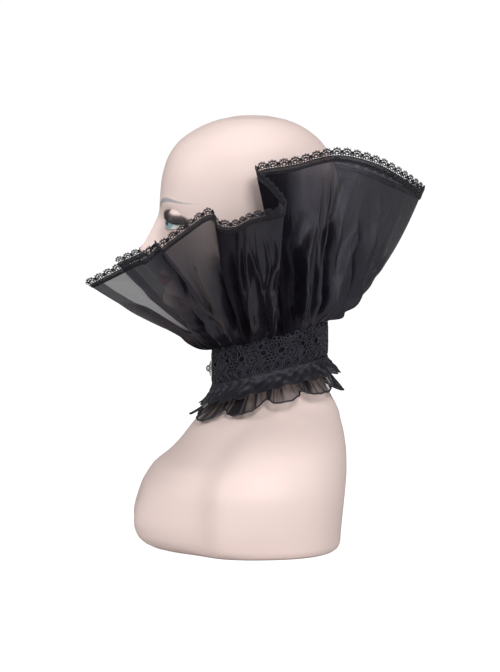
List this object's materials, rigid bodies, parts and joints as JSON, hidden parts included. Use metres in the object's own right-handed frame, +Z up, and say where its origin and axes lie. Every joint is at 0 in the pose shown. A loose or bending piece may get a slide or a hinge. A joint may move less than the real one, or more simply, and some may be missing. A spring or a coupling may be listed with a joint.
{
  "type": "stand collar on a limbless bust form",
  "caption": "Tall fan-shaped stand collar of gathered sheer black organza with a guipure lace neck band, lace edging, small ruffles and a front brooch, worn by a bust form.",
  "frame": {"origin": "centre of the bust form's flat base, on the surface that it stands on", "axes": "+Z up, -Y to the front of the bust, +X to the wearer's left"},
  "size_m": [0.3675, 0.3767, 0.4757],
  "materials": {
    "pale_matt_plastic": "matt, skin-coloured",
    "black_band_cloth": "black satin band cloth",
    "black_guipure_lace": "black corded lace",
    "black_organza": "sheer black organza",
    "black_edge_lace": "black scalloped edging lace",
    "black_ruffle_organza": "sheer black organza, pleated",
    "old_pewter": "darkened pewter"
  },
  "bodies": {
    "root": {"bust_form": "pale_matt_plastic", "neck_band": "black_band_cloth", "lace_band": "black_guipure_lace", "collar_flounce": "black_organza", "edge_lace": "black_edge_lace", "upper_ruffle": "black_ruffle_organza", "lower_ruffle": "black_ruffle_organza", "front_brooch": "old_pewter"}
  },
  "joints": []
}
